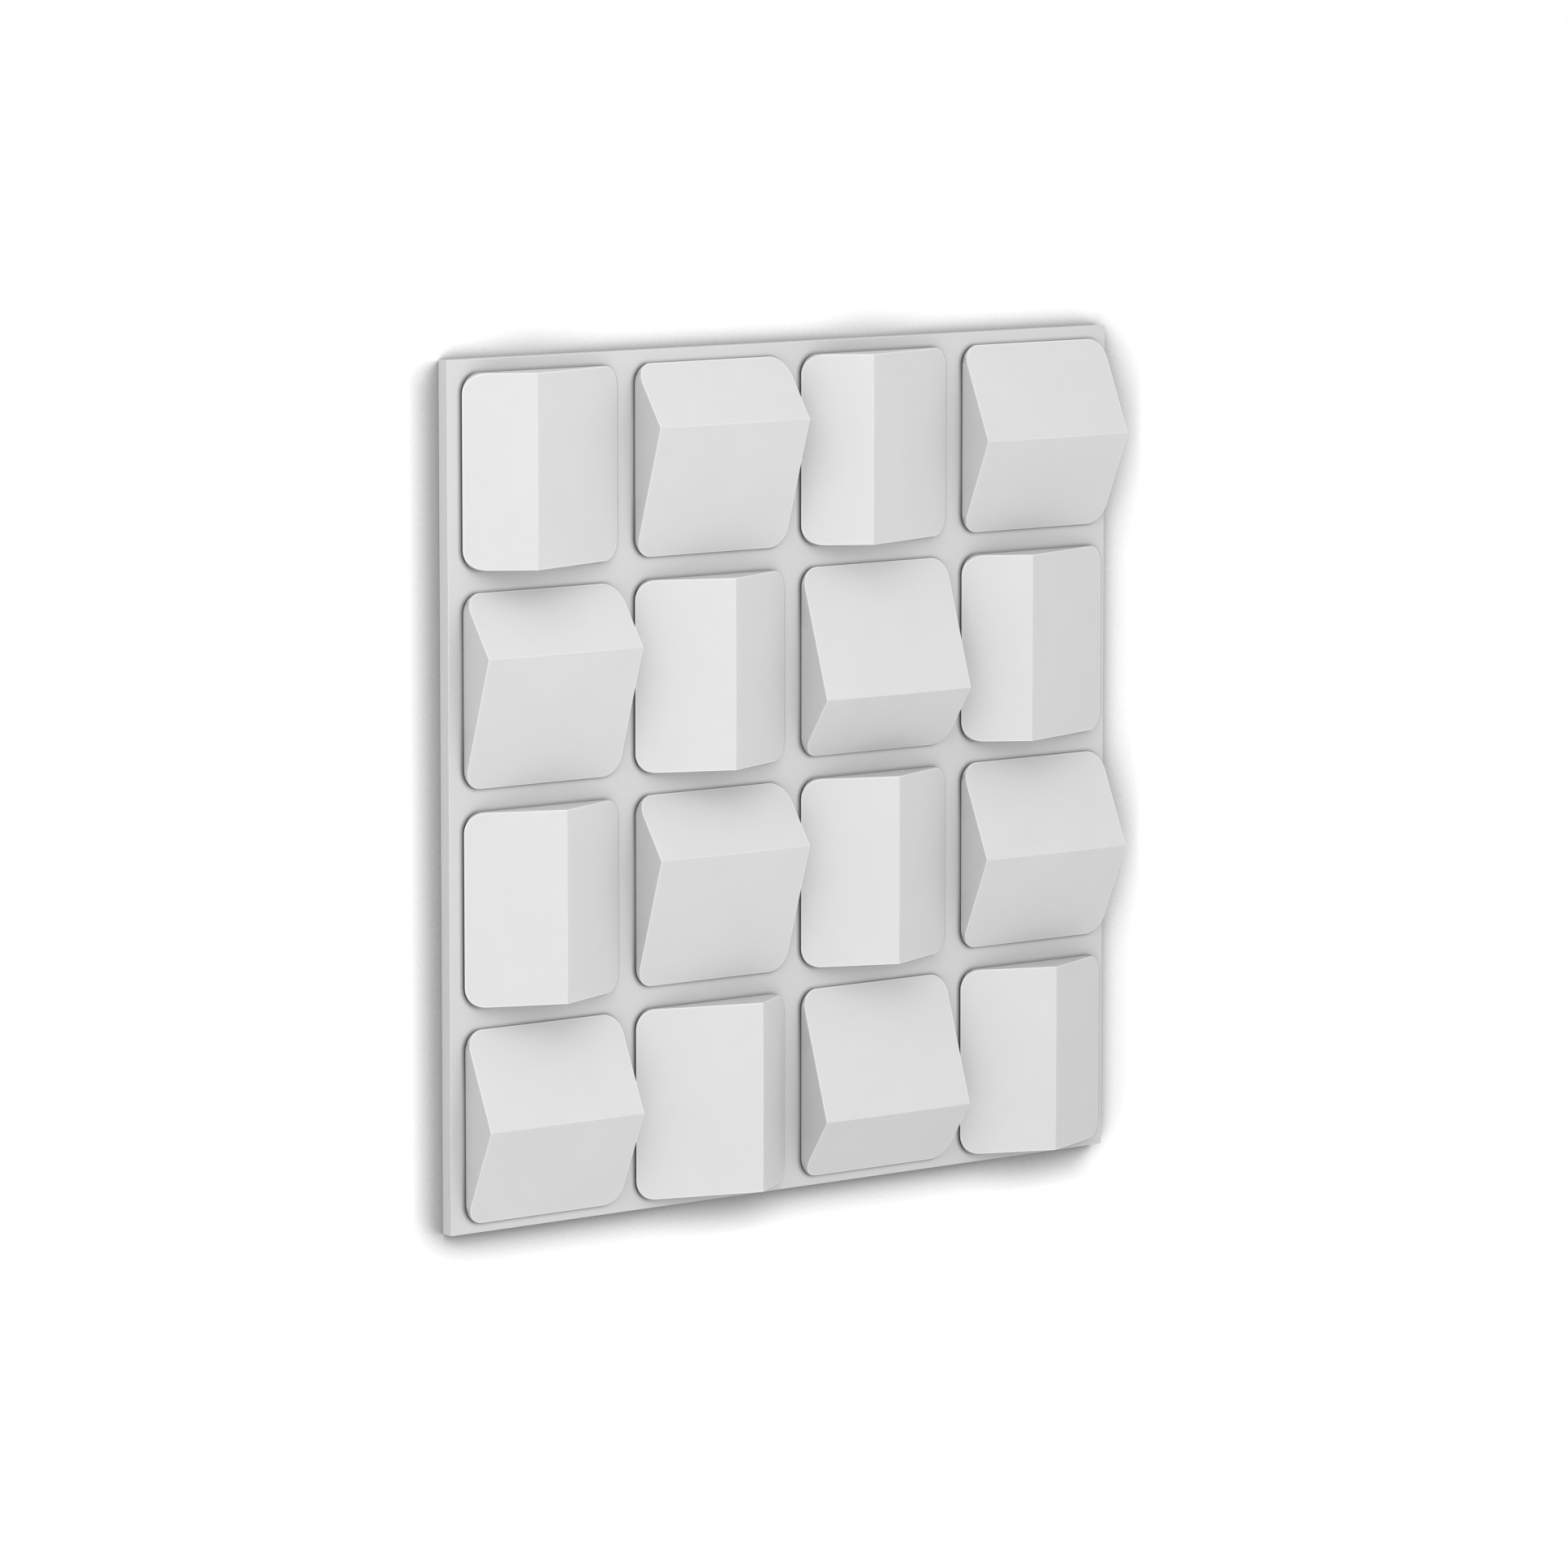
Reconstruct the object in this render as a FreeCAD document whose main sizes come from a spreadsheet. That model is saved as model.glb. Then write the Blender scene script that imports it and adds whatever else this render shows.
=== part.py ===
import FreeCAD, Part
import os

import Sketcher

# Relief wall tile, moulded in one piece: a square plate with a grid of raised blocks on its face.
# Each block is a rounded square in plan, with walls square to the plate and a gable top whose two
# slopes meet in one straight ridge. Millimetres. The origin is the middle of the flat back, +Z
# points out of the face, +X runs along a row of blocks and +Y up a column.

NODE = "relief_tile"

# Driving dimensions. Each pair of opposite margins adds up to one gap, so that the grid of blocks
# runs on evenly from tile to tile.
SIZES = (
    ("plate_thickness", 6.0),
    ("block_side", 85.0),
    ("block_gap", 10.0),
    ("block_corner", 8.7),
    ("eave_height", 1.0),
    ("ridge_height", 19.0),
    ("ridge_shift", 15.5),
    ("margin_left", 7.4),
    ("margin_right", 2.6),
    ("margin_bottom", 4.2),
    ("margin_top", 5.8),
)

# Ridge places, the top row first. Ridges run along Y and along X in turn, as on a chessboard, with
# a Y ridge in the top left block. 0 is a ridge over the middle of its block, and 1 and -1 are
# ridges moved by ridge_shift: to the right and left, or on an X ridge to the top and bottom.
RIDGE_PLACES = (
    (-1, 1, -1, 0),
    (1, 0, -1, -1),
    (0, 1, 0, 0),
    (0, 1, -1, 0),
)
ROWS = len(RIDGE_PLACES)
COLUMNS = len(RIDGE_PLACES[0])

# Sizes that follow from the driving ones, as expressions.
PITCH = "(sizes.block_side + sizes.block_gap)"
TILE_WIDTH = f"(sizes.margin_left + sizes.margin_right + {COLUMNS} * {PITCH} - sizes.block_gap)"
TILE_LENGTH = f"(sizes.margin_bottom + sizes.margin_top + {ROWS} * {PITCH} - sizes.block_gap)"
FIRST_X = f"(sizes.margin_left + sizes.block_side / 2 - {TILE_WIDTH} / 2)"
FIRST_Y = f"(sizes.margin_bottom + sizes.block_side / 2 - {TILE_LENGTH} / 2)"
UNCUT_HEIGHT = "(sizes.ridge_height + sizes.eave_height)"
CUTTER_TOP = "(sizes.ridge_height + 2 * sizes.eave_height)"

# Points of a sketch, as dimensions name them: the ends of a line, and the sketch's own origin.
START, END = range(1, 3)
ORIGIN_POINT = (-1, START)


def make_sheet(doc):
    """Fill the spreadsheet: names in column A, sizes with their aliases in column B."""
    sheet = doc.addObject("Spreadsheet::Sheet", "sizes")
    for row, (name, value) in enumerate(SIZES, start=1):
        sheet.set(f"A{row}", name)
        sheet.set(f"B{row}", str(value))
        sheet.setAlias(f"B{row}", name)
    doc.recompute()
    return sheet


def add_sketch(body, name, plane_role, place):
    """Add a sketch on one of the body's origin planes, moved by the expressions in place."""
    sketch = body.newObject("Sketcher::SketchObject", name)
    for feature in body.Origin.OriginFeatures:
        if feature.Role == plane_role:
            sketch.AttachmentSupport = (feature, "")
    sketch.MapMode = "FlatFace"
    for axis, expression in place.items():
        sketch.setExpression(f"AttachmentOffset.Base.{axis}", expression)
    return sketch


def add_polygon(sketch, points):
    """Draw a closed run of straight lines, each joined to the next."""
    corners = [FreeCAD.Vector(x, y, 0) for x, y in points]
    count = len(corners)
    for index in range(count):
        line = Part.LineSegment(corners[index], corners[(index + 1) % count])
        sketch.addGeometry(line, False)
    for index in range(count):
        joint = Sketcher.Constraint("Coincident", index, END, (index + 1) % count, START)
        sketch.addConstraint(joint)


def add_size(sketch, name, constraint, expression):
    """Add a named dimension to a sketch and bind it to an expression."""
    index = sketch.addConstraint(constraint)
    sketch.renameConstraint(index, name)
    sketch.setExpression(f"Constraints.{name}", expression)


def span(kind, first, second, value):
    """Make a DistanceX or DistanceY dimension from one point to another."""
    return Sketcher.Constraint(kind, *first, *second, value)


def along(sketch, kind, lines):
    """Hold lines horizontal or vertical."""
    for line in lines:
        sketch.addConstraint(Sketcher.Constraint(kind, line))


def draw_plate(body, sheet):
    """Outline of the plate, a rectangle about the origin."""
    sketch = add_sketch(body, "plate_outline", "XY_Plane", {})
    margins_x = sheet.margin_left + sheet.margin_right
    margins_y = sheet.margin_bottom + sheet.margin_top
    half_x = (COLUMNS * (sheet.block_side + sheet.block_gap) - sheet.block_gap + margins_x) / 2
    half_y = (ROWS * (sheet.block_side + sheet.block_gap) - sheet.block_gap + margins_y) / 2
    corners = [(-half_x, -half_y), (half_x, -half_y), (half_x, half_y), (-half_x, half_y)]
    add_polygon(sketch, corners)
    along(sketch, "Horizontal", (0, 2))
    along(sketch, "Vertical", (1, 3))
    sketch.addConstraint(Sketcher.Constraint("Symmetric", 0, START, 2, START, *ORIGIN_POINT))
    width = span("DistanceX", (0, START), (0, END), 2 * half_x)
    add_size(sketch, "width", width, TILE_WIDTH)
    length = span("DistanceY", (1, START), (1, END), 2 * half_y)
    add_size(sketch, "length", length, TILE_LENGTH)
    return sketch


def draw_block(body, sheet):
    """Plan of the block at the bottom left: a square about its own middle, with round corners."""
    place = {"x": FIRST_X, "y": FIRST_Y, "z": "sizes.plate_thickness"}
    sketch = add_sketch(body, "block_outline", "XY_Plane", place)
    half = sheet.block_side / 2
    corner = sheet.block_corner
    straight = half - corner
    quarter = FreeCAD.Rotation(FreeCAD.Vector(0, 0, 1), 90)
    start = FreeCAD.Vector(-straight, -half, 0)
    end = FreeCAD.Vector(straight, -half, 0)
    centre = FreeCAD.Vector(straight, -straight, 0)
    middle = centre + FreeCAD.Vector(1, -1, 0).normalize() * corner
    sides = range(0, 8, 2)
    for _ in sides:
        next_start = quarter.multVec(start)
        sketch.addGeometry(Part.LineSegment(start, end), False)
        sketch.addGeometry(Part.Arc(end, middle, next_start), False)
        start = next_start
        end = quarter.multVec(end)
        middle = quarter.multVec(middle)
    for side in sides:
        sketch.addConstraint(Sketcher.Constraint("Tangent", side, END, side + 1, START))
        sketch.addConstraint(Sketcher.Constraint("Tangent", side + 1, END, (side + 2) % 8, START))
    along(sketch, "Horizontal", (0, 4))
    along(sketch, "Vertical", (2, 6))
    for arc in (3, 5, 7):
        sketch.addConstraint(Sketcher.Constraint("Equal", 1, arc))
    sketch.addConstraint(Sketcher.Constraint("Symmetric", 0, START, 4, START, *ORIGIN_POINT))
    add_size(sketch, "corner", Sketcher.Constraint("Radius", 1, corner), "sizes.block_corner")
    side_x = span("DistanceX", (6, START), (2, START), 2 * half)
    add_size(sketch, "side_x", side_x, "sizes.block_side")
    side_y = span("DistanceY", (0, START), (4, START), 2 * half)
    add_size(sketch, "side_y", side_y, "sizes.block_side")
    return sketch


def draw_roof(body, sheet, name, plane_role, place, shift):
    """Section of what is cut away above one gable, across its ridge, over the block's whole cell."""
    sketch = add_sketch(body, name, plane_role, place)
    half = sheet.block_side / 2
    cell = half + sheet.block_gap / 2
    eave = sheet.eave_height
    ridge = sheet.ridge_height
    top = ridge + 2 * eave
    offset = shift * sheet.ridge_shift
    points = [(-cell, eave), (-half, eave), (offset, ridge), (half, eave), (cell, eave)]
    points += [(cell, top), (-cell, top)]
    add_polygon(sketch, points)
    along(sketch, "Horizontal", (0, 3, 5))
    along(sketch, "Vertical", (4, 6))
    left_eave = (1, START)
    ridge_point = (2, START)
    right_eave = (3, START)
    right_end = (4, START)
    left_end = (0, START)
    top_corner = (5, START)
    sketch.addConstraint(Sketcher.Constraint("Horizontal", *left_eave, *right_eave))
    dimensions = (
        ("left_wall", "DistanceX", left_eave, ORIGIN_POINT, half, "sizes.block_side / 2"),
        ("right_wall", "DistanceX", ORIGIN_POINT, right_eave, half, "sizes.block_side / 2"),
        ("left_cell", "DistanceX", left_end, ORIGIN_POINT, cell, f"{PITCH} / 2"),
        ("right_cell", "DistanceX", ORIGIN_POINT, right_end, cell, f"{PITCH} / 2"),
        ("ridge_place", "DistanceX", left_eave, ridge_point, half + offset,
         f"sizes.block_side / 2 + {shift} * sizes.ridge_shift"),
        ("eave", "DistanceY", ORIGIN_POINT, left_eave, eave, "sizes.eave_height"),
        ("ridge", "DistanceY", ORIGIN_POINT, ridge_point, ridge, "sizes.ridge_height"),
        ("top", "DistanceY", ORIGIN_POINT, top_corner, top, CUTTER_TOP),
    )
    for label, kind, first, second, value, expression in dimensions:
        add_size(sketch, label, span(kind, first, second, value), expression)
    return sketch


def cut_roof(body, sheet, row, column):
    """Cut one block down to its gable. Rows count from the top, columns from the left."""
    name = f"roof_row{row + 1}_column{column + 1}"
    block_x = f"({FIRST_X} + {column} * {PITCH})"
    block_y = f"({FIRST_Y} + {ROWS - 1 - row} * {PITCH})"
    if (row + column) % 2 == 0:
        plane_role = "XZ_Plane"
        place = {"x": block_x, "y": "sizes.plate_thickness", "z": f"-{block_y}"}
    else:
        plane_role = "YZ_Plane"
        place = {"x": block_y, "y": "sizes.plate_thickness", "z": block_x}
    shift = RIDGE_PLACES[row][column]
    sketch = draw_roof(body, sheet, f"{name}_section", plane_role, place, shift)
    pocket = body.newObject("PartDesign::Pocket", name)
    pocket.Profile = sketch
    pocket.SideType = "Symmetric"
    pocket.setExpression("Length", PITCH)
    return pocket


def make_tile(doc, sheet):
    """Build the tile: the plate, the grid of uncut blocks, then the gable of each block."""
    body = doc.addObject("PartDesign::Body", NODE)
    body.Label = NODE

    plate = body.newObject("PartDesign::Pad", "plate")
    plate.Profile = draw_plate(body, sheet)
    plate.setExpression("Length", "sizes.plate_thickness")
    doc.recompute()

    outline = draw_block(body, sheet)
    block = body.newObject("PartDesign::Pad", "block")
    block.Profile = outline
    block.setExpression("Length", UNCUT_HEIGHT)
    doc.recompute()

    grid = body.newObject("PartDesign::LinearPattern", "block_grid")
    grid.Originals = [block]
    grid.Direction = (outline, ["H_Axis"])
    grid.Mode = "Spacing"
    grid.Occurrences = COLUMNS
    grid.setExpression("Offset", PITCH)
    grid.Direction2 = (outline, ["V_Axis"])
    grid.Mode2 = "Spacing"
    grid.Occurrences2 = ROWS
    # A spacing of -1 takes the pattern's own offset.
    grid.Spacings2 = [-1.0] * (ROWS - 1)
    grid.setExpression("Offset2", PITCH)
    body.Tip = grid
    doc.recompute()

    for row in range(ROWS):
        for column in range(COLUMNS):
            cut_roof(body, sheet, row, column)
    doc.recompute()
    return body


def check_model(doc, body):
    """Stop if a feature failed, a roof cut nothing, or the tile isn't one whole solid."""
    for item in doc.Objects:
        if "Invalid" in item.State or "Error" in item.State:
            raise RuntimeError(f"{item.Name} failed: {item.State}")
    for item in body.Group:
        if item.TypeId == "PartDesign::Pocket" and item.Shape.Volume >= item.BaseFeature.Shape.Volume:
            raise RuntimeError(f"{item.Name} cut nothing")
    shape = body.Shape
    if shape.isNull() or not shape.isValid() or len(shape.Solids) != 1:
        raise RuntimeError(f"{body.Label} isn't one valid solid")


def main():
    doc = FreeCAD.newDocument("relief_wall_tile")
    sheet = make_sheet(doc)
    tile = make_tile(doc, sheet)
    check_model(doc, tile)
    os.makedirs("parts", exist_ok=True)
    tile.Shape.exportStep(os.path.join("parts", f"{tile.Label}.step"))
    box = tile.Shape.BoundBox
    print(f"{tile.Label}: {box.XLength:.2f} x {box.YLength:.2f} x {box.ZLength:.2f} mm, "
          f"{tile.Shape.Volume / 1e6:.3f} litres, {len(tile.Shape.Faces)} faces")


main()
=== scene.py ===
import bpy
import numpy as np
from mathutils import Matrix, Vector


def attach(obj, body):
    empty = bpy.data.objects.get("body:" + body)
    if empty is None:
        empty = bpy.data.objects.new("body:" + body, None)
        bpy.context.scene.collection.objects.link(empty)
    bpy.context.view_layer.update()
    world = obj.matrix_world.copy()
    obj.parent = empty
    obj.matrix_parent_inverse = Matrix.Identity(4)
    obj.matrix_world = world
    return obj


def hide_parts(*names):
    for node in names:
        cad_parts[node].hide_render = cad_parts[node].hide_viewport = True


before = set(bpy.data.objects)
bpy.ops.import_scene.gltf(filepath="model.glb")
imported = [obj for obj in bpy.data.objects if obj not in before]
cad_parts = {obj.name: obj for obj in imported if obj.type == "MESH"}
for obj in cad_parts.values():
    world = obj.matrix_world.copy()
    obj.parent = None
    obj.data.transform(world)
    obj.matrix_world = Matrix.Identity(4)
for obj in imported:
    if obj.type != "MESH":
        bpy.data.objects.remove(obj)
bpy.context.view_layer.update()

# Relief wall tile, lying on its back: a plate with a grid of gable-topped blocks. Metres, in the
# frame's axes: +X along a row of blocks, +Y up a column, +Z out of the face.
NODE = "relief_tile"

BLOCK_SIDE = 0.085
BLOCK_GAP = 0.010
BLOCK_CORNER = 0.0087
EAVE_HEIGHT = 0.001
RIDGE_HEIGHT = 0.019
RIDGE_SHIFT = 0.0155
PLATE_THICKNESS = 0.006
MARGIN_LEFT = 0.0074
MARGIN_RIGHT = 0.0026
MARGIN_BOTTOM = 0.0042
MARGIN_TOP = 0.0058

# Ridge places, the top row first: 0 over the middle of a block, 1 and -1 moved by RIDGE_SHIFT.
# Ridges run along Y and X in turn, with a Y ridge in the top left block.
RIDGE_PLACES = np.array([
    (-1, 1, -1, 0),
    (1, 0, -1, -1),
    (0, 1, 0, 0),
    (0, 1, -1, 0),
])

# Set-back of the softened arrises and ridges, and of the rim where a block's roof begins. A ridge's
# painted highlight is a set share of an arris's.
ARRIS = 0.00018
RIM = 0.0007
RIDGE_ARRIS = 0.0003
RIDGE_HIGHLIGHT = 0.45

# Shadow gap: each block's wall stops short of the plate and is cut back under its lower edge. Under
# the low eaves it leaves an edge of EAVE_EDGE.
GAP_HEIGHT = 0.0011
GAP_DEPTH = 0.0020
EAVE_EDGE = 0.0002

# Shade painted into the plate's colour: out to the cell's boundary, at a block's foot, and at the back
# of the gap. It grows from FOOT_REACH inwards, and lags a straight line by FOOT_SAG halfway. Along low
# left sides the painted shade is deeper and reaches further, and that fades as the wall rises, by the
# power LEFT_FADE.
PLATE_SHADE = 0.08
FOOT_SHADE = 0.4
FOOT_REACH = 0.0018
FOOT_SAG = 0.05
LEFT_SHADE = 0.8
LEFT_REACH = 0.0024
LEFT_FADE = 3
GAP_SHADE = 1.0

# Steps round a block's corner, across an arris, across a ridge and round a corner of the plate.
CORNER_STEPS = 8
ARRIS_STEPS = 3
RIDGE_STEPS = 4
PLATE_CORNER_STEPS = 4

# Points that fall on one place in a grid of WELD are joined. Faces that meet at more than SHARP_ANGLE
# stay sharp.
WELD = 7.3e-6
SHARP_ANGLE = np.radians(40)

# Primer: the greys that its mottle runs between, the grey of the highlight painted on its arrises, its
# roughness, and the strength and depth of its pebble, with the share of the finer grain. Noises are a
# scale and a detail.
MOTTLE_GREYS = (0.712, 0.728)
ARRIS_HIGHLIGHT_GREY = 0.88
ROUGHNESS = (0.55, 0.65)
PEBBLE_STRENGTH = 0.5
PEBBLE_DEPTH = 0.00002
FINE_SHARE = 0.35
MOTTLE_NOISE = (45.0, 3.0)
ROUGHNESS_NOISE = (160.0, 2.0)
PEBBLE_NOISE = (850.0, 2.0)
FINE_NOISE = (3600.0, 1.0)
NOISE_RANGE = (0.3, 0.7)

# How far the arris mask paints a highlight on the primer, and the foot mask paints shade on it.
# Recesses are found within RECESS_REACH, and a closed one is painted in shade that keeps RECESS_DARK
# of its colour.
ARRIS_HIGHLIGHT = 0.75
FOOT_DARK = 0.95
RECESS_REACH = 0.05
RECESS_DARK = 0.65
RECESS_SAMPLES = 6

# Shadow painted on the floor: the direction, reach and power of its two leans, the ends of the smooth
# step that eases their product, and the share of its level that the floor keeps in the deepest shade.
CONTACT_LEANS = (
    ((0.85, 0.36, -0.38), 0.018, 2.9),
    ((-0.86, 0.06, 0.51), 0.036, 1.6),
)
CONTACT_STEP = (0.06, 1.03)
CONTACT_DARK = 0.10
CONTACT_SAMPLES = 16

# Floor: its level where it is seen, the even share of that, the grey that light bounces off, the half
# sides of its near square and of the whole, and how far it lies under the tile's back.
FLOOR_LEVEL = 1.16
FLOOR_EVEN = 0.8
FLOOR_GREY = 0.55
FLOOR_NEAR = 0.24
FLOOR_HALF = 15.0
FLOOR_DROP = 0.0001

# Camera, without shift. The lens and the sensor are in millimetres.
CAMERA_PLACE = (-2.2452, 0.4160, 2.6846)
CAMERA_AIM = (0.0032, -0.0080, 0.0)
CAMERA_LENS = 181.18
CAMERA_SENSOR = 36.0
CAMERA_SIGHT = 100.0

# Square lamps at one distance from the tile's middle: name, azimuth and elevation in degrees, watts.
LAMP_FAR = 1.2
LAMP_SIZE = 0.9
LAMPS = (
    ("upper_left", 130, 28, 4.4),
    ("lower_left", 225, 35, 2.1),
    ("overhead", 90, 80, 4.0),
)
SKY_LEVEL = 0.57

BLACK = 0.0
WHITE = 1.0

HALF = BLOCK_SIDE / 2
STRAIGHT = HALF - BLOCK_CORNER
PITCH = BLOCK_SIDE + BLOCK_GAP
ROWS, COLUMNS = RIDGE_PLACES.shape


def side_stations():
    """Places along a straight side: its two ends, and a few across each of the three ridge places."""
    steps = np.linspace(-RIDGE_ARRIS, RIDGE_ARRIS, RIDGE_STEPS + 1)
    ridges = [place * RIDGE_SHIFT + steps for place in (-1, 0, 1)]
    return np.concatenate([[-STRAIGHT], *ridges, [STRAIGHT]])


def turn(plan, quarters):
    """Plan points turned about the origin by quarter turns, anticlockwise."""
    cosine, sine = [(1, 0), (0, 1), (-1, 0), (0, -1)][quarters % 4]
    x, y = plan[..., 0], plan[..., 1]
    return np.stack([cosine * x - sine * y, sine * x + cosine * y], axis=-1)


def block_path(stations):
    """Path round a block, anticlockwise from the left end of its bottom side.

    Returns a spine and unit normals: the outline at an offset is the spine plus the normals times
    the corner radius plus that offset. Along a side the spine is the side moved in by the radius,
    and at a corner it stays on the corner's centre while the normal turns a quarter.
    """
    angles = np.linspace(-np.pi / 2, 0, CORNER_STEPS + 1)[1:-1]
    side = np.stack([stations, np.full_like(stations, -STRAIGHT)], axis=-1)
    corner = np.full((len(angles), 2), (STRAIGHT, -STRAIGHT))
    spine = np.concatenate([side, corner])
    side_normal = np.full(side.shape, (0.0, -1.0))
    corner_normal = np.stack([np.cos(angles), np.sin(angles)], axis=-1)
    normal = np.concatenate([side_normal, corner_normal])
    spines = [turn(spine, quarters) for quarters in range(4)]
    normals = [turn(normal, quarters) for quarters in range(4)]
    return np.concatenate(spines), np.concatenate(normals)


STATIONS = side_stations()
SPINE, NORMAL = block_path(STATIONS)


def outline(offset):
    """Plan of a block's outline, moved outwards by one offset, or by one for each point."""
    return SPINE + NORMAL * np.reshape(BLOCK_CORNER + offset, (-1, 1))


def cell_boundary(low, high):
    """Rectangle round a block from low to high, with one point for each point of the block's path.

    Side points keep their place along the side. The first half of a corner's points run straight on
    to the rectangle's corner, and the second half run back along the next side.
    """
    share = np.linspace(0, 1, CORNER_STEPS // 2 + 1)[1:, None]
    edges = [low[1], high[0], high[1], low[0]]
    level = np.stack([STATIONS, np.zeros_like(STATIONS)], axis=-1)
    sides = [turn(level, quarters) for quarters in range(4)]
    for quarters, side in enumerate(sides):
        side[:, 1 - quarters % 2] = edges[quarters]
    runs = []
    for quarters, side in enumerate(sides):
        next_side = sides[(quarters + 1) % 4]
        corner = np.where([quarters % 2 == 0, quarters % 2 == 1], next_side[0], side[-1])
        out = side[-1] + (corner - side[-1]) * share
        back = corner + (next_side[0] - corner) * share[:-1]
        runs += [side, out, back]
    return np.concatenate(runs)


def gable_height(across, ridge):
    """Height of a gable over the plate at places across its block, for a ridge at the given place.

    Two straight slopes rise from the eaves to the ridge. Within RIDGE_ARRIS of the ridge they are
    joined by the parabola that touches both.
    """
    rise = RIDGE_HEIGHT - EAVE_HEIGHT
    left_slope = rise / (HALF + ridge)
    right_slope = rise / (HALF - ridge)
    left = EAVE_HEIGHT + (across + HALF) * left_slope
    right = EAVE_HEIGHT + (HALF - across) * right_slope
    share = np.clip((across - ridge + RIDGE_ARRIS) / (2 * RIDGE_ARRIS), 0, 1)
    left_end = RIDGE_HEIGHT - RIDGE_ARRIS * left_slope
    right_end = RIDGE_HEIGHT - RIDGE_ARRIS * right_slope
    crown = (1 - share) ** 2 * left_end + share ** 2 * right_end
    crown = crown + 2 * share * (1 - share) * RIDGE_HEIGHT
    return np.where(np.abs(across - ridge) < RIDGE_ARRIS, crown, np.minimum(left, right))


def raise_plan(plan, height):
    """Plan points with a height, as points in space."""
    height = np.broadcast_to(height, plan.shape[:-1])
    return np.concatenate([plan, height[..., None]], axis=-1)


def bend(start, middle, end):
    """Softened edge: the quadratic curve from start to end that heads for middle, in equal steps."""
    share = np.linspace(0, 1, ARRIS_STEPS + 1).reshape(-1, *[1] * start.ndim)
    return (1 - share) ** 2 * start + 2 * share * (1 - share) * middle + share ** 2 * end


def block_skirt(ridge, quarters, cell_low, cell_high):
    """Plate, shadow gap, wall and softened top edge of one block: a profile carried round its outline.

    Rings run from the cell's boundary inwards: the plate as far as the back of the gap, the gap's
    back and top, the wall, the arris and the rim of the roof. The wall's height follows the gable,
    so it is low at the eaves and high at the ridge. Returns the rings, and their points' masks for
    the painted arris highlight and the painted shade at the foot.
    """
    def ring(offset, height):
        return raise_plan(outline(offset), height)

    def roof(offset):
        return gable_height(turn(outline(offset), -quarters)[:, 0], ridge)

    top = roof(0.0)
    gap = np.minimum(GAP_HEIGHT, top - EAVE_EDGE)
    # Painted shade at the foot, deeper and wider along low left sides.
    low = (RIDGE_HEIGHT - top) / (RIDGE_HEIGHT - EAVE_HEIGHT)
    low_left = low ** LEFT_FADE * np.clip(-NORMAL[:, 0], 0, 1)
    reach = FOOT_REACH + (LEFT_REACH - FOOT_REACH) * low_left
    shade = FOOT_SHADE + (LEFT_SHADE - FOOT_SHADE) * low_left
    edge = bend(ring(0.0, top - ARRIS), ring(0.0, top), ring(-ARRIS, roof(-ARRIS)))
    profile = [
        (raise_plan(cell_boundary(cell_low, cell_high), 0.0), 0.0, PLATE_SHADE),
        (ring(reach, 0.0), 0.0, PLATE_SHADE),
        (ring(reach / 2, 0.0), 0.0, (PLATE_SHADE + shade) / 2 - FOOT_SAG),
        (ring(0.0, 0.0), 0.0, shade),
        (ring(-GAP_DEPTH, 0.0), 0.0, GAP_SHADE),
        (ring(-GAP_DEPTH, gap), 0.0, GAP_SHADE),
        (ring(0.0, gap), 0.0, 0.0),
        (edge[0], 0.0, 0.0),
        *[(points, 1.0, 0.0) for points in edge[1:]],
        (ring(-RIM, roof(-RIM)), 0.0, 0.0),
    ]
    rings, *masks = zip(*profile)
    highlight_mask, foot_shade_mask = [
        np.stack([np.broadcast_to(level, len(SPINE)) for level in mask]) for mask in masks]
    return np.stack(rings), highlight_mask, foot_shade_mask


def block_roof(ridge, quarters):
    """Gable top of one block: a grid of lines along the ridge, each as long as the outline allows.

    Returns the grid, from right to left across the ridge, and each line's mask for the highlight
    painted along the ridge.
    """
    corner = BLOCK_CORNER - RIM
    angles = np.linspace(0, np.pi / 2, CORNER_STEPS + 1)[:-1]
    left = -STRAIGHT - corner * np.cos(angles)
    reach = STRAIGHT + corner * np.sin(angles)
    across = np.concatenate([left, STATIONS, -left[::-1]])[::-1]
    full = np.full_like(STATIONS, STRAIGHT + corner)
    length = np.concatenate([reach, full, reach[::-1]])
    along = length[:, None] * STATIONS / STRAIGHT
    plan = np.stack([np.broadcast_to(across[:, None], along.shape), along], axis=-1)
    grid = raise_plan(turn(plan, quarters), gable_height(across, ridge)[:, None])
    return grid, RIDGE_HIGHLIGHT * np.clip(1 - np.abs(across - ridge) / RIDGE_ARRIS, 0, 1)


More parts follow.
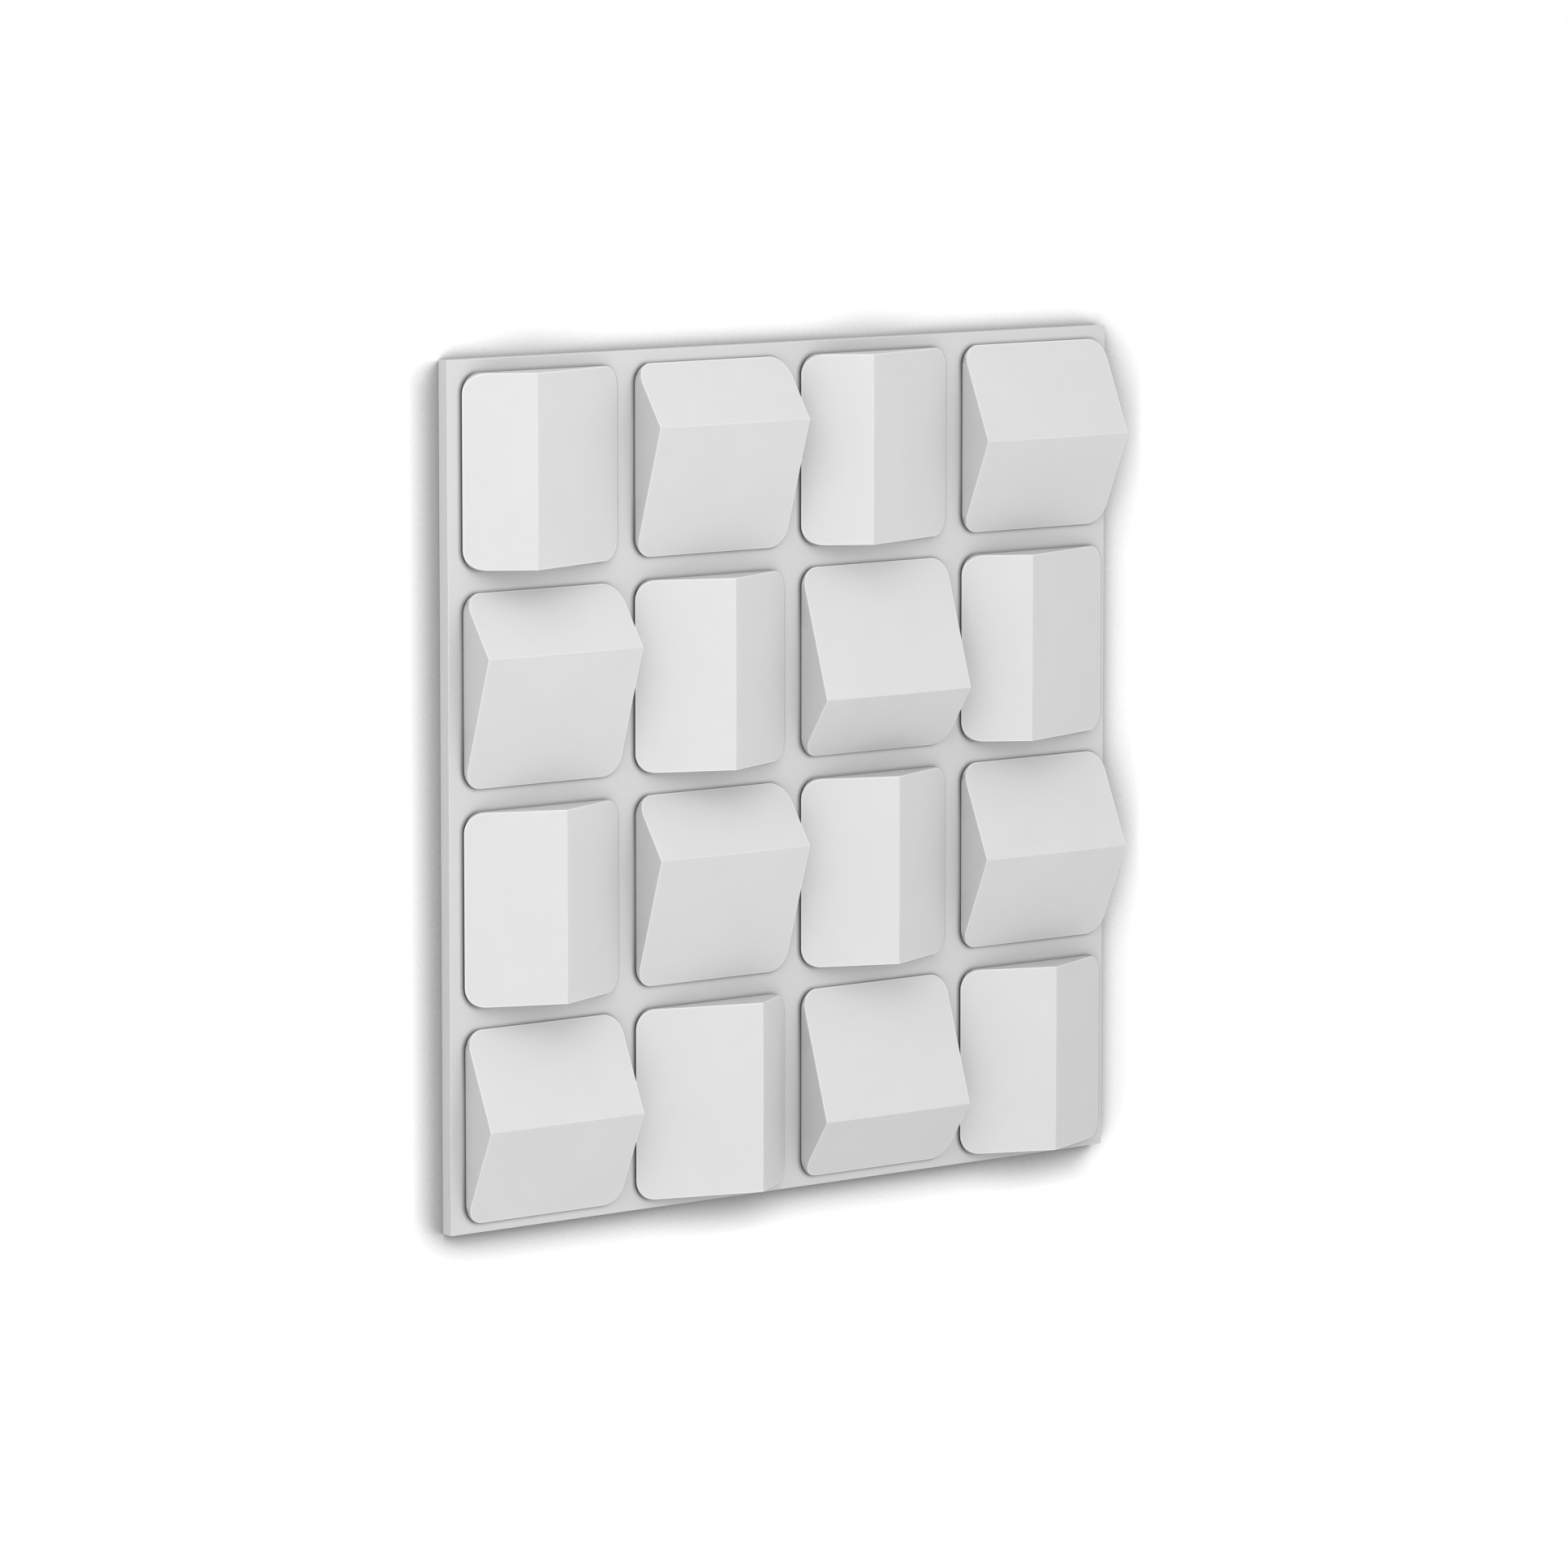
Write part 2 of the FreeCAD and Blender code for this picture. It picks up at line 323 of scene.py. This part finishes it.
def plate_rim(x_places, y_places):
    """Edge of the plate, from the back to the face: a profile carried round the tile's outline.

    The path is the face's edge, set in by ARRIS. Side points move straight out from it, and each
    corner is a point whose normal turns a quarter, so a corner is as softened as the arrises are.
    """
    angles = np.linspace(-np.pi / 2, 0, PLATE_CORNER_STEPS + 1)[1:-1]
    corner_normal = np.stack([np.cos(angles), np.sin(angles)], axis=-1)
    sides = [
        np.stack(np.broadcast_arrays(x_places, y_places[0]), axis=-1),
        np.stack(np.broadcast_arrays(x_places[-1], y_places), axis=-1),
        np.stack(np.broadcast_arrays(x_places[::-1], y_places[-1]), axis=-1),
        np.stack(np.broadcast_arrays(x_places[0], y_places[::-1]), axis=-1),
    ]
    spine = []
    normal = []
    for quarters, side in enumerate(sides):
        straight = np.full(side.shape, (0.0, -1.0))
        spine += [side, np.repeat(side[-1:], len(angles), axis=0)]
        normal += [turn(straight, quarters), turn(corner_normal, quarters)]
    spine = np.concatenate(spine)
    normal = np.concatenate(normal)

    def ring(offset, height):
        return raise_plan(spine + normal * offset, height)

    top = PLATE_THICKNESS
    back_edge = bend(ring(0.0, 0.0), ring(ARRIS, 0.0), ring(ARRIS, ARRIS))
    face_edge = bend(ring(ARRIS, top - ARRIS), ring(ARRIS, top), ring(0.0, top))
    rings = np.concatenate([back_edge, face_edge])
    # Mask for the highlight painted along the face's arris.
    mask = np.zeros(len(rings))
    mask[ARRIS_STEPS + 2:-1] = 1.0
    return rings, mask


def cell_lines(count, first_margin, last_margin):
    """Edges of the cells and middles of the blocks along one axis of the tile.

    Cells meet at the middle of each gap, and the outer ones end where the plate's arris begins.
    """
    half = (count * PITCH - BLOCK_GAP + first_margin + last_margin) / 2
    middles = -half + first_margin + HALF + PITCH * np.arange(count)
    edges = np.concatenate([[-half + ARRIS], middles[:-1] + PITCH / 2, [half - ARRIS]])
    return edges, middles


def in_order(places):
    """Places along one axis, in order and each once."""
    places = np.concatenate(places)
    _, first = np.unique(np.round(places / WELD), return_index=True)
    return places[first]


def tile_patches():
    """The tile's whole surface as grids: each cell's skirt and roof, the rim and the back.

    Each patch is its grid of points, whether its columns close, and its masks for the painted arris
    highlight and the painted foot shade, which have one level for each row or for each point.
    """
    x_edges, x_middles = cell_lines(COLUMNS, MARGIN_LEFT, MARGIN_RIGHT)
    y_edges, y_middles = cell_lines(ROWS, MARGIN_BOTTOM, MARGIN_TOP)
    patches = []
    x_places = []
    y_places = []
    for row, column in np.ndindex(ROWS, COLUMNS):
        level = ROWS - 1 - row
        middle = np.array([x_middles[column], y_middles[level]])
        low = np.array([x_edges[column], y_edges[level]]) - middle
        high = np.array([x_edges[column + 1], y_edges[level + 1]]) - middle
        place = np.array([*middle, PLATE_THICKNESS])
        quarters = (row + column) % 2
        ridge = RIDGE_PLACES[row, column] * RIDGE_SHIFT
        rings, highlight_mask, foot_shade_mask = block_skirt(ridge, quarters, low, high)
        patches.append((rings + place, True, highlight_mask, foot_shade_mask))
        grid, highlight_mask = block_roof(ridge, quarters)
        patches.append((grid + place, False, highlight_mask, np.zeros_like(highlight_mask)))
        x_places.append(rings[0, :, 0] + middle[0])
        y_places.append(rings[0, :, 1] + middle[1])
    x_places = in_order(x_places)
    y_places = in_order(y_places)
    rings, highlight_mask = plate_rim(x_places, y_places)
    patches.append((rings, True, highlight_mask, np.zeros_like(highlight_mask)))
    back = raise_plan(np.stack(np.meshgrid(x_places, y_places[::-1]), axis=-1), 0.0)
    none = np.zeros(len(y_places))
    patches.append((back, False, none, none))
    return patches


def grid_faces(rows, columns, closed):
    """Corner numbers of a grid's quads, wrapping round its columns where it is closed."""
    numbers = np.arange(rows * columns).reshape(rows, columns)
    if closed:
        numbers = np.concatenate([numbers, numbers[:, :1]], axis=1)
    corners = [numbers[:-1, :-1], numbers[:-1, 1:], numbers[1:, 1:], numbers[1:, :-1]]
    return np.stack(corners, axis=-1).reshape(-1, 4)


def make_mesh(name, patches):
    """Weld patches into one closed mesh, with the masks as attributes of its points."""
    points = []
    faces = []
    masks = []
    start = 0
    for grid, closed, highlight_mask, foot_shade_mask in patches:
        rows, columns = grid.shape[:2]
        points.append(grid.reshape(-1, 3))
        faces.append(grid_faces(rows, columns, closed) + start)
        levels = [
            np.broadcast_to(mask.reshape(rows, -1), (rows, columns))
            for mask in (highlight_mask, foot_shade_mask)]
        masks.append(np.stack(levels, axis=-1).reshape(-1, 2))
        start += rows * columns
    points = np.concatenate(points)
    keys = np.round(points / WELD).astype(np.int64)
    _, first, number = np.unique(keys, axis=0, return_index=True, return_inverse=True)
    faces = number.reshape(-1)[np.concatenate(faces)]
    kept = faces != np.roll(faces, 1, axis=1)
    whole = kept.sum(axis=1) > 2
    faces, kept = faces[whole], kept[whole]
    corners = faces[kept]
    totals = kept.sum(axis=1)

    mesh = bpy.data.meshes.new(name)
    mesh.vertices.add(len(first))
    mesh.vertices.foreach_set("co", points[first].reshape(-1))
    mesh.loops.add(len(corners))
    mesh.loops.foreach_set("vertex_index", corners.astype(np.int32))
    mesh.polygons.add(len(faces))
    mesh.polygons.foreach_set("loop_start", (np.cumsum(totals) - totals).astype(np.int32))
    mesh.polygons.foreach_set("use_smooth", np.ones(len(faces), dtype=bool))
    mesh.update(calc_edges=True)
    masks = np.concatenate(masks)[first]
    for column, label in enumerate(("arris", "foot")):
        attribute = mesh.attributes.new(label, "FLOAT", "POINT")
        attribute.data.foreach_set("value", masks[:, column].astype(np.float32))
    mesh.normals_split_custom_set(corner_normals(mesh))
    return mesh


def corner_normals(mesh):
    """Normals that keep flats flat beside arrises, and sharp edges sharp.

    Each point takes the normal of the broadest faces round it, and a face that leans away from that
    by more than SHARP_ANGLE keeps its own.
    """
    areas = np.empty(len(mesh.polygons), dtype=np.float32)
    mesh.polygons.foreach_get("area", areas)
    normals = np.empty(3 * len(mesh.polygons), dtype=np.float32)
    mesh.polygons.foreach_get("normal", normals)
    totals = np.empty(len(mesh.polygons), dtype=np.int32)
    mesh.polygons.foreach_get("loop_total", totals)
    corners = np.empty(len(mesh.loops), dtype=np.int32)
    mesh.loops.foreach_get("vertex_index", corners)
    own = np.repeat(normals.reshape(-1, 3).astype(float), totals, axis=0)
    weights = np.repeat(areas.astype(float) ** 2, totals)
    sums = np.zeros((len(mesh.vertices), 3))
    np.add.at(sums, corners, own * weights[:, None])
    broad = (sums / np.linalg.norm(sums, axis=1, keepdims=True))[corners]
    soft = (broad * own).sum(axis=1) > np.cos(SHARP_ANGLE)
    return np.where(soft[:, None], broad, own)


def grey(level):
    """Grey of one level, as a colour."""
    return (level, level, level, 1.0)


def feed(tree, socket, value):
    """Link another node's output to a socket, or set a plain value on it."""
    if isinstance(value, bpy.types.NodeSocket):
        tree.links.new(value, socket)
    else:
        socket.default_value = value


def calculate(tree, operation, first, second):
    """Result of an operation on two values."""
    node = tree.nodes.new("ShaderNodeMath")
    node.operation = operation
    feed(tree, node.inputs[0], first)
    feed(tree, node.inputs[1], second)
    return node.outputs["Value"]


def stretch(tree, value, source, target, kind="LINEAR"):
    """Value carried from one range to another, and held inside it."""
    node = tree.nodes.new("ShaderNodeMapRange")
    node.interpolation_type = kind
    for name, end in zip(("From Min", "From Max", "To Min", "To Max"), (*source, *target)):
        node.inputs[name].default_value = end
    tree.links.new(value, node.inputs["Value"])
    return node.outputs["Result"]


def mix_colours(tree, kind, factor, first, second):
    """First colour with the second laid over it by a factor, in the kind of mix named."""
    node = tree.nodes.new("ShaderNodeMix")
    node.data_type = "RGBA"
    node.blend_type = kind
    for name, value in (("Factor", factor), ("A", first), ("B", second)):
        feed(tree, node.inputs[name], value)
    return node.outputs["Result"]


def open_space(tree, reach, samples):
    """Node that gives the open share of the space round a point, within a reach."""
    node = tree.nodes.new("ShaderNodeAmbientOcclusion")
    node.samples = samples
    node.inputs["Distance"].default_value = reach
    return node


def primed_white():
    """Matte white primer: faintly mottled and pebbled, with a highlight painted on its arrises and
    shade painted at the blocks' feet and in its recesses.
    """
    material = bpy.data.materials.new("primed_white")
    material.use_nodes = True
    tree = material.node_tree
    shader = tree.nodes["Principled BSDF"]
    place = tree.nodes.new("ShaderNodeTexCoord").outputs["Object"]

    def noise(scale, detail):
        node = tree.nodes.new("ShaderNodeTexNoise")
        node.inputs["Scale"].default_value = scale
        node.inputs["Detail"].default_value = detail
        tree.links.new(place, node.inputs["Vector"])
        return node.outputs["Fac"]

    def mask(name, strength):
        node = tree.nodes.new("ShaderNodeAttribute")
        node.attribute_name = name
        return calculate(tree, "MULTIPLY", node.outputs["Fac"], strength)

    mottle = stretch(tree, noise(*MOTTLE_NOISE), NOISE_RANGE, (0.0, 1.0))
    colour = mix_colours(tree, "MIX", mottle, *map(grey, MOTTLE_GREYS))
    # Painted highlight along arrises and ridges.
    colour = mix_colours(tree, "MIX", mask("arris", ARRIS_HIGHLIGHT), colour, grey(ARRIS_HIGHLIGHT_GREY))
    # Painted shade at the blocks' feet, deeper along low left sides, nearly black in the shadow gap.
    colour = mix_colours(tree, "MULTIPLY", mask("foot", FOOT_DARK), colour, grey(BLACK))
    # Painted shade in recesses, darker where less space is open round a point.
    recess = open_space(tree, RECESS_REACH, RECESS_SAMPLES)
    recess.only_local = True
    kept = stretch(tree, recess.outputs["AO"], (0.0, 1.0), (RECESS_DARK, 1.0))
    shaded = tree.nodes.new("ShaderNodeVectorMath")
    shaded.operation = "SCALE"
    tree.links.new(colour, shaded.inputs["Vector"])
    tree.links.new(kept, shaded.inputs["Scale"])
    tree.links.new(shaded.outputs["Vector"], shader.inputs["Base Color"])
    roughness = stretch(tree, noise(*ROUGHNESS_NOISE), NOISE_RANGE, ROUGHNESS)
    tree.links.new(roughness, shader.inputs["Roughness"])

    fine = calculate(tree, "MULTIPLY", noise(*FINE_NOISE), FINE_SHARE)
    pebble = calculate(tree, "ADD", noise(*PEBBLE_NOISE), fine)
    bump = tree.nodes.new("ShaderNodeBump")
    bump.inputs["Strength"].default_value = PEBBLE_STRENGTH
    bump.inputs["Distance"].default_value = PEBBLE_DEPTH
    tree.links.new(pebble, bump.inputs["Height"])
    tree.links.new(bump.outputs["Normal"], shader.inputs["Normal"])
    return material


def seen_share(tree):
    """1 for rays from the camera, a gloss or a clear piece, and 0 for light that only bounces."""
    path = tree.nodes.new("ShaderNodeLightPath")
    share = path.outputs["Is Camera Ray"]
    for kind in ("Is Glossy Ray", "Is Transmission Ray"):
        share = calculate(tree, "MAXIMUM", share, path.outputs[kind])
    return share


def floor_material(name):
    """New material without a shader yet, and its node tree."""
    material = bpy.data.materials.new(name)
    material.use_nodes = True
    tree = material.node_tree
    tree.nodes.clear()
    return material, tree


def show_both(tree, share, lit, glow):
    """Show a glowing shader for a share, and a lit one for the rest."""
    mix = tree.nodes.new("ShaderNodeMixShader")
    tree.links.new(share, mix.inputs["Fac"])
    tree.links.new(lit.outputs["BSDF"], mix.inputs[1])
    tree.links.new(glow.outputs["Emission"], mix.inputs[2])
    output = tree.nodes.new("ShaderNodeOutputMaterial")
    tree.links.new(mix.outputs["Shader"], output.inputs["Surface"])


def white_floor():
    """Floor that shows white in full light, with the tile's soft shadow painted into it.

    The painted shadow is the open share of the space round each of two leaning directions, within a
    reach, raised to a power. The product of the two is eased from CONTACT_DARK to 1 by a smooth step.
    What is seen of the floor glows evenly with that painted shadow for FLOOR_EVEN of its light, and
    for the rest is lit by the lamps, which add their real shadows.
    """
    material, tree = floor_material("white_floor")
    shares = []
    for direction, reach, power in CONTACT_LEANS:
        lean = tree.nodes.new("ShaderNodeNormal")
        lean.outputs["Normal"].default_value = direction
        space = open_space(tree, reach, CONTACT_SAMPLES)
        tree.links.new(lean.outputs["Normal"], space.inputs["Normal"])
        shares.append(calculate(tree, "POWER", space.outputs["AO"], power))
    open_share = calculate(tree, "MULTIPLY", *shares)
    levels = (CONTACT_DARK * FLOOR_LEVEL, FLOOR_LEVEL)
    level = stretch(tree, open_share, CONTACT_STEP, levels, "SMOOTHSTEP")
    seen = seen_share(tree)
    lit = tree.nodes.new("ShaderNodeBsdfDiffuse")
    colour = mix_colours(tree, "MIX", seen, grey(FLOOR_GREY), level)
    tree.links.new(colour, lit.inputs["Color"])
    glow = tree.nodes.new("ShaderNodeEmission")
    tree.links.new(level, glow.inputs["Color"])
    show_both(tree, calculate(tree, "MULTIPLY", seen, FLOOR_EVEN), lit, glow)
    return material


def white_backdrop():
    """Floor away from the tile: plain white where it is seen, and a grey that light bounces off."""
    material, tree = floor_material("white_backdrop")
    lit = tree.nodes.new("ShaderNodeBsdfDiffuse")
    lit.inputs["Color"].default_value = grey(FLOOR_GREY)
    glow = tree.nodes.new("ShaderNodeEmission")
    glow.inputs["Color"].default_value = grey(WHITE)
    show_both(tree, seen_share(tree), lit, glow)
    return material


def add_floor():
    """Level square just under the tile's back: a near square with the shadow in a wide white frame."""
    square = np.array([(-1, -1), (1, -1), (1, 1), (-1, 1)])
    points = raise_plan(np.concatenate([square * FLOOR_NEAR, square * FLOOR_HALF]), -FLOOR_DROP)
    frame_faces = [(4, 5, 1, 0), (5, 6, 2, 1), (6, 7, 3, 2), (7, 4, 0, 3)]
    mesh = bpy.data.meshes.new("floor")
    mesh.from_pydata(points.tolist(), [], [(0, 1, 2, 3)] + frame_faces)
    mesh.materials.append(white_floor())
    mesh.materials.append(white_backdrop())
    mesh.polygons.foreach_set("material_index", [0] + [1] * len(frame_faces))
    floor = bpy.data.objects.new("floor", mesh)
    bpy.context.collection.objects.link(floor)


def aimed(place, aim):
    """Matrix of a thing at place that looks at aim, with the tile's +Y upwards in its view."""
    forward = (Vector(aim) - Vector(place)).normalized()
    right = forward.cross(Vector((0, 1, 0))).normalized()
    up = right.cross(forward)
    turned = Matrix((right, up, -forward)).transposed().to_4x4()
    return Matrix.Translation(place) @ turned


def add_lamp(name, azimuth, elevation, power):
    """Square area lamp at LAMP_FAR from the tile's middle and aimed at it. Angles in degrees."""
    azimuth = np.radians(azimuth)
    elevation = np.radians(elevation)
    level = LAMP_FAR * np.cos(elevation)
    place = (level * np.cos(azimuth), level * np.sin(azimuth), LAMP_FAR * np.sin(elevation))
    lamp = bpy.data.lights.new(name, "AREA")
    lamp.size = LAMP_SIZE
    lamp.energy = power
    holder = bpy.data.objects.new(name, lamp)
    holder.matrix_world = aimed(place, (0, 0, 0))
    bpy.context.collection.objects.link(holder)


def add_camera():
    """Camera with a long lens, from the upper left of the tile's face."""
    camera = bpy.data.cameras.new("camera")
    camera.lens = CAMERA_LENS
    camera.sensor_width = CAMERA_SENSOR
    camera.clip_end = CAMERA_SIGHT
    holder = bpy.data.objects.new("camera", camera)
    holder.matrix_world = aimed(CAMERA_PLACE, CAMERA_AIM)
    bpy.context.collection.objects.link(holder)
    bpy.context.scene.camera = holder


def set_sky():
    """Sky that lights the tile evenly at SKY_LEVEL, and is white where it is seen."""
    world = bpy.data.worlds.new("soft_sky")
    bpy.context.scene.world = world
    world.use_nodes = True
    tree = world.node_tree
    colour = mix_colours(tree, "MIX", seen_share(tree), grey(SKY_LEVEL), grey(WHITE))
    tree.links.new(colour, tree.nodes["Background"].inputs["Color"])


tile_mesh = make_mesh("tile", tile_patches())
tile_mesh.materials.append(primed_white())
tile = bpy.data.objects.new("tile", tile_mesh)
bpy.context.collection.objects.link(tile)
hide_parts(NODE)
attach(tile, "root")

add_floor()
add_camera()
set_sky()
for lamp in LAMPS:
    add_lamp(*lamp)
bpy.context.scene.view_settings.view_transform = "Standard"
